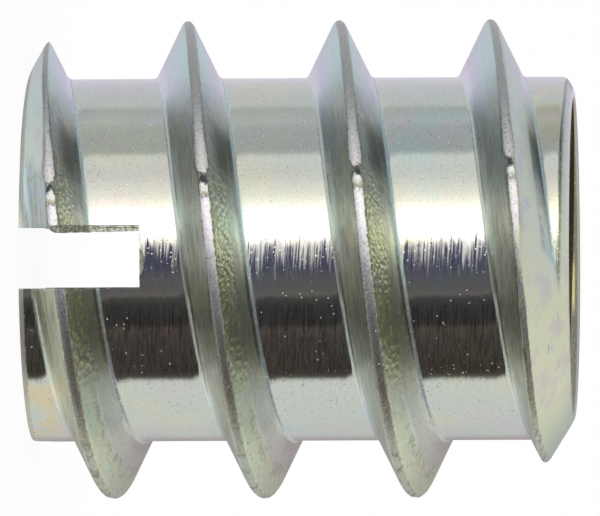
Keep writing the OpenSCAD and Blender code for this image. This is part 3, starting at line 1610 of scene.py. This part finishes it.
@dataclass(frozen=True)
class InsertBody:
    """The whole insert, turned, threaded, tapped and slotted from one bar."""

    sizes: InsertSizes
    merge_reach: float = 0.0005
    smooth_angle: float = math.radians(32)

    def blank(self) -> Workpiece:
        """The bar with its wood thread, chamfered and worn.

        Returns:
            A closed piece.
        """
        s = self.sizes
        soft_corner = 2 - math.sqrt(2)  # share of a corner that a round bevel takes off
        ridge = ThreadForm(
            name="threaded_insert",
            root_r=s.core_r,
            tip_r=s.apex_r,
            tip_w=0.0,
            pitch=s.pitch,
            flank=s.flank,
            tip_bevel=(s.apex_r - s.crest_r) / soft_corner / math.cos(s.flank),
            root_bevel=0.10,
            turn_steps=360,
            flank_cuts=9,
            root_cuts=4,
            tip_steps=6,
        )
        blank = ridge.solid(0.0, s.length, s.crest_start)
        ends = EndForm(s)
        ends.add_rings(blank)
        blank.wear(CrestWear(s).shift)
        blank.wear(ends.shift)
        return blank

    def build(self) -> bpy.types.Object:
        """Models and dresses the insert.

        Returns:
            The finished piece, in metres.
        """
        s = self.sizes
        skin = PlatedSteel(s).material()
        bore_finish = TappedSteel(s).material()
        sawn = SawnSteel(s).material()

        body = self.blank()
        body.wear_finish(skin)

        bore = TappedBore(s)
        sinks = (
            bore.countersink(s.drive_sink_r, 0.0, 1),
            bore.countersink(s.lead_sink_r, s.length, -1),
        )
        for cutter in (bore.thread(), *sinks):
            cutter.wear_finish(bore_finish)
            body.cut_away(cutter)

        slot = DriveSlot(s)
        for cutter in (slot.saw(), slot.skin_cut()):
            cutter.wear_finish(sawn)
            body.cut_away(cutter)

        body.merge_doubles(self.merge_reach)
        body.bring_to_metres()
        body.activate()
        bpy.ops.object.shade_smooth_by_angle(angle=self.smooth_angle)
        return body.obj


# --------------------------------------------------------------------------
# Studio and camera
# --------------------------------------------------------------------------


@dataclass(frozen=True)
class Belt:
    """What the gloss sees all round at one height: brightness by azimuth.

    Azimuth runs in degrees from the camera's side, positive towards -X.
    """

    stops: tuple[tuple[float, Colour], ...]

    def colour(self, graph: Graph, turn: Value, top: float) -> Value:
        """The belt's colour at an azimuth.

        Args:
            graph: the material's graph.
            turn: the azimuth, from 0 at -180 degrees to 1 at 180.
            top: the brightness that the ramp's 1 stands for.

        Returns:
            The colour, divided by that brightness.
        """
        stops = [((at + 180) / 360, tuple(c / top for c in colour)) for at, colour in self.stops]
        return graph.node("ShaderNodeValToRGB", {"stops": stops}, {"Fac": turn}).out()


@dataclass(frozen=True)
class Surroundings:
    """A tent of cards round the insert that only its gloss shows."""

    distance: float = 0.2
    reach: float = 88.0  # degrees of elevation that the tent covers
    step: float = 4.0
    top: float = 2.0
    overlap: tuple[float, float] = (0.38, 0.60)  # sine of the elevations where belts meet
    level: Belt = Belt(
        (
            (-180, (0.36, 0.29, 0.31)), (-162, (0.42, 0.39, 0.39)), (-148, (0.60, 0.61, 0.60)),
            (-120, (0.66, 0.70, 0.66)), (-82, (0.70, 0.74, 0.68)), (-80.5, (0.058, 0.050, 0.042)),
            (-52, (0.078, 0.068, 0.060)), (-44, (0.104, 0.086, 0.076)), (-42, (0.044, 0.041, 0.041)),
            (-23.5, (0.060, 0.058, 0.058)), (-22.5, (0.170, 0.164, 0.150)), (-20.5, (0.118, 0.116, 0.114)),
            (-12, (0.110, 0.112, 0.125)), (-4, (0.055, 0.060, 0.120)), (6, (0.080, 0.080, 0.150)),
            (9, (1.60, 1.50, 1.30)), (14, (2.0, 2.0, 1.95)), (28, (1.8, 1.8, 1.7)),
            (34, (1.35, 1.30, 1.12)), (41, (1.0, 0.99, 0.86)), (52, (0.76, 0.77, 0.70)),
            (58, (0.70, 0.73, 0.68)), (68, (0.72, 0.77, 0.72)), (71, (0.40, 0.44, 0.44)),
            (90, (0.42, 0.46, 0.46)), (97, (0.50, 0.54, 0.54)), (110, (0.44, 0.48, 0.48)),
            (114, (0.58, 0.63, 0.61)), (140, (0.62, 0.64, 0.68)), (160, (0.70, 0.68, 0.77)),
            (180, (0.72, 0.64, 0.76)),
        )
    )
    high: Belt = Belt(
        (
            (-180, (0.60, 0.62, 0.58)), (-150, (0.74, 0.78, 0.68)), (-126, (0.84, 0.88, 0.74)),
            (-92, (0.52, 0.53, 0.43)), (-56, (0.15, 0.15, 0.12)), (-28, (0.17, 0.17, 0.14)),
            (0, (0.40, 0.43, 0.34)), (28, (1.80, 1.92, 1.50)), (56, (0.38, 0.42, 0.39)),
            (92, (0.085, 0.095, 0.105)), (126, (0.36, 0.41, 0.43)), (150, (0.54, 0.61, 0.66)),
            (180, (0.68, 0.74, 0.82)),
        )
    )
    low: Belt = Belt(
        (
            (-180, (0.48, 0.49, 0.46)), (-150, (0.66, 0.71, 0.63)), (-126, (1.10, 1.17, 1.12)),
            (-92, (0.66, 0.69, 0.60)), (-56, (0.21, 0.21, 0.175)), (-28, (0.30, 0.30, 0.25)),
            (0, (0.40, 0.415, 0.38)), (28, (0.68, 0.74, 0.66)), (56, (0.32, 0.35, 0.33)),
            (92, (0.175, 0.195, 0.21)), (126, (0.32, 0.36, 0.37)), (150, (0.68, 0.75, 0.79)),
            (180, (0.72, 0.79, 0.86)),
        )
    )

    def hang(self, middle: Vector) -> bpy.types.Object:
        """Spins the tent round the insert.

        Args:
            middle: the middle of the insert.

        Returns:
            The tent.
        """
        low = math.radians(self.reach)
        foot = (0.0, -self.distance * math.cos(low), -self.distance * math.sin(low))
        piece = Workpiece.point("tent", foot)
        with piece.editing(Pick.VERTEX):
            piece.take_all()
            self._spin(2 * low, (1, 0, 0))
            piece.take_all()
            self._spin(2 * math.pi, (0, 0, 1))
            piece.take_all()
            bpy.ops.mesh.remove_doubles(threshold=self.distance / METRE)
            bpy.ops.mesh.normals_make_consistent(inside=True)
            bpy.ops.transform.translate(value=middle)
        self._hide_but_from_gloss(piece.obj)
        piece.wear_finish(self._material(middle))
        return piece.obj

    def _spin(self, angle: float, axis: Sequence[float]) -> None:
        """Spins what is selected about an axis through the origin."""
        steps = round(math.degrees(angle) / self.step)
        bpy.ops.mesh.spin(steps=steps, angle=angle, center=(0, 0, 0), axis=axis)

    @staticmethod
    def _hide_but_from_gloss(obj: bpy.types.Object) -> None:
        """Leaves the tent to be seen in reflections alone.

        Args:
            obj: the tent.
        """
        obj.visible_camera = False
        obj.visible_diffuse = False
        obj.visible_shadow = False
        obj.visible_transmission = False

    def _material(self, middle: Vector) -> bpy.types.Material:
        """An unlit material with the three belts, one over the other.

        Args:
            middle: the middle of the insert.

        Returns:
            The material of the tent.
        """
        graph = Graph(bpy.data.materials.new("tent"))
        x, y, z = graph.apart(graph.vector_math("SUBTRACT", graph.place(), tuple(middle)))
        turn = (0.0 - x).angle_to(0.0 - y) / (2 * math.pi) + 0.5
        rise = (z / self.distance).held()
        fall = ((0.0 - z) / self.distance).held()
        level, high, low = (
            belt.colour(graph, turn, self.top) for belt in (self.level, self.high, self.low)
        )
        coats = Coats(graph, level)
        coats.lay(rise.step(*self.overlap), high)
        coats.lay(fall.step(*self.overlap), low)
        inputs = {"Color": coats.colour, "Strength": self.top}
        graph.show(graph.node("ShaderNodeEmission", {}, inputs))
        return graph.owner


@dataclass(frozen=True)
class Studio:
    """White floor and surroundings, one soft lamp, and a tent for the metal."""

    middle: Vector
    floor_size: float = 3.0
    floor_colour: Colour = (0.92, 0.92, 0.92)
    floor_glow: float = 0.95
    lamp_azimuth: float = 23.0
    lamp_distance: float = 0.19
    lamp_width: float = 0.085
    lamp_height: float = 0.12
    lamp_power: float = 0.16

    def set_up(self) -> None:
        """Builds the whole studio."""
        self._world()
        self._floor()
        self._lamp()
        Surroundings().hang(self.middle)

    @staticmethod
    def _seen_white(graph: Graph) -> Value:
        """Tells how the floor is seen.

        Args:
            graph: the floor's graph.

        Returns:
            1 where it is seen straight, in gloss or through glass, or else 0.
        """
        path = graph.node("ShaderNodeLightPath", {}, {})
        names = ("Is Camera Ray", "Is Glossy Ray", "Is Transmission Ray")
        camera, gloss, through = (path.out(name) for name in names)
        return (camera + gloss + through).held()

    def _world(self) -> None:
        """Even white light from all round."""
        world = bpy.data.worlds.new("studio")
        bpy.context.scene.world = world
        graph = Graph(world)
        light = graph.node("ShaderNodeBackground", {}, {"Color": rgba(WHITE), "Strength": 1.0})
        graph.show(light, "ShaderNodeOutputWorld")

    def _floor(self) -> None:
        """A plain white floor that keeps a little of the shadow."""
        Workpiece.clear_selection()
        bpy.ops.mesh.primitive_plane_add(size=self.floor_size)
        floor = bpy.context.object
        floor.name = "floor"
        floor.visible_glossy = False
        graph = Graph(bpy.data.materials.new("floor"))
        paper = graph.node("ShaderNodeBsdfDiffuse", {}, {"Color": rgba(self.floor_colour)})
        glow = graph.node("ShaderNodeEmission", {}, {"Color": rgba(WHITE)})
        share = self._seen_white(graph) * self.floor_glow
        inputs = {0: share, 1: paper.out(), 2: glow.out()}
        graph.show(graph.node("ShaderNodeMixShader", {}, inputs))
        floor.data.materials.append(graph.owner)

    def _lamp(self) -> None:
        """The soft box beside the camera."""
        data = bpy.data.lights.new("soft_box", "AREA")
        data.shape = "RECTANGLE"
        data.size = self.lamp_width
        data.size_y = self.lamp_height
        data.energy = self.lamp_power
        lamp = bpy.data.objects.new("soft_box", data)
        bpy.context.scene.collection.objects.link(lamp)
        turn = math.radians(self.lamp_azimuth)
        back = Vector((-math.sin(turn), -math.cos(turn), 0.0))
        lamp.location = self.middle + back * self.lamp_distance
        lamp.rotation_mode = "QUATERNION"
        lamp.rotation_quaternion = (-back).to_track_quat("-Z", "Y")
        lamp.visible_camera = False
        lamp.visible_glossy = False


@dataclass(frozen=True)
class Viewpoint:
    """A long lens, level with the insert and turned so that its axis lies across."""

    middle: Vector
    aside: tuple[float, float, float] = (-0.000034, 0, -0.000095)  # aims a little off the middle
    distance: float = 0.27
    frame_width: float = 0.01506
    rise: float = math.radians(3.45)
    roll: float = math.radians(0.28)
    sensor: float = 36.0

    def set_up(self) -> None:
        """Makes the scene's camera."""
        data = bpy.data.cameras.new("camera")
        data.sensor_width = self.sensor
        data.lens = self.sensor * self.distance / self.frame_width
        data.clip_start = self.distance / 100
        data.clip_end = self.distance * 100
        data.dof.use_dof = False
        camera = bpy.data.objects.new("camera", data)
        bpy.context.scene.collection.objects.link(camera)
        back = Vector((0, -math.cos(self.rise), math.sin(self.rise)))
        right = Vector((0, math.sin(self.rise), math.cos(self.rise)))
        up = back.cross(right)
        axes = Matrix((right, up, back)).transposed()
        axes = axes @ Matrix.Rotation(-self.roll, 3, "Z")
        stand = self.middle + Vector(self.aside) + back * self.distance
        camera.matrix_world = Matrix.LocRotScale(stand, axes, None)
        bpy.context.scene.camera = camera


def main() -> None:
    """Builds the insert, the studio and the camera, and logs the insert's face count."""
    logging.basicConfig(level=logging.INFO, format="%(name)s: %(message)s")
    bpy.context.scene.view_settings.view_transform = "Standard"
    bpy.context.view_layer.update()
    sizes = InsertSizes.of_frame()

    insert = InsertBody(sizes).build()
    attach(insert, BODY)
    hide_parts(NODE)
    log.info("%s has %d faces", insert.name, len(insert.data.polygons))

    middle = Vector((0, 0, sizes.length / 2 / METRE))
    Studio(middle).set_up()
    Viewpoint(middle).set_up()


if __name__ == "__main__":
    main()
